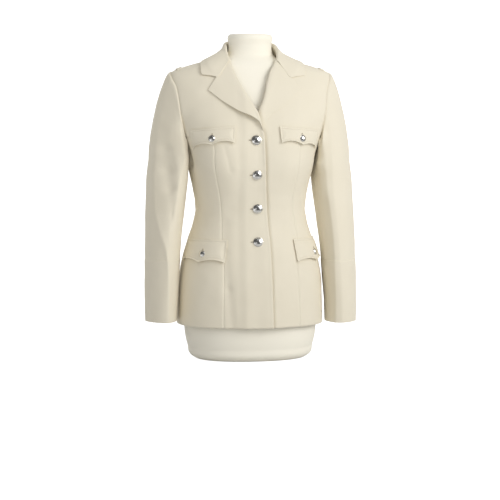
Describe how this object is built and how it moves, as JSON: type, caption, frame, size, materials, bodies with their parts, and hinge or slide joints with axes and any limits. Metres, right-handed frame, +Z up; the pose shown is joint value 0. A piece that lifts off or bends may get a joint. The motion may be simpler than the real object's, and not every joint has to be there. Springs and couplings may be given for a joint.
{
  "type": "uniform jacket on dress form",
  "caption": "Women's single-breasted uniform blouse with notched lapels, flapped pockets, shoulder loops and domed metal buttons, worn on a limbless dress form.",
  "frame": {"origin": "centre of the dress form's flat underside, which stands on the surface", "axes": "+Z up, the front faces -Y, +X towards the wearer's left"},
  "size_m": [0.518, 0.2638, 0.78],
  "materials": {
    "jacket_cloth": "fine ivory twill with a dry matt face",
    "button_metal": "polished silver-coloured metal",
    "form_cover": "smooth cream jersey cover"
  },
  "bodies": {
    "root": {"right_front": "jacket_cloth", "left_front": "jacket_cloth", "right_side": "jacket_cloth", "left_side": "jacket_cloth", "right_back": "jacket_cloth", "left_back": "jacket_cloth", "right_lapel": "jacket_cloth", "left_lapel": "jacket_cloth", "collar": "jacket_cloth", "right_top_sleeve": "jacket_cloth", "left_top_sleeve": "jacket_cloth", "right_under_sleeve": "jacket_cloth", "left_under_sleeve": "jacket_cloth", "right_cuff": "jacket_cloth", "left_cuff": "jacket_cloth", "right_chest_flap": "jacket_cloth", "left_chest_flap": "jacket_cloth", "right_lower_flap": "jacket_cloth", "left_lower_flap": "jacket_cloth", "right_shoulder_loop": "jacket_cloth", "left_shoulder_loop": "jacket_cloth", "front_button_1": "button_metal", "front_button_2": "button_metal", "front_button_3": "button_metal", "front_button_4": "button_metal", "right_chest_button": "button_metal", "left_chest_button": "button_metal", "right_lower_button": "button_metal", "left_lower_button": "button_metal", "dress_form": "form_cover"}
  },
  "joints": []
}
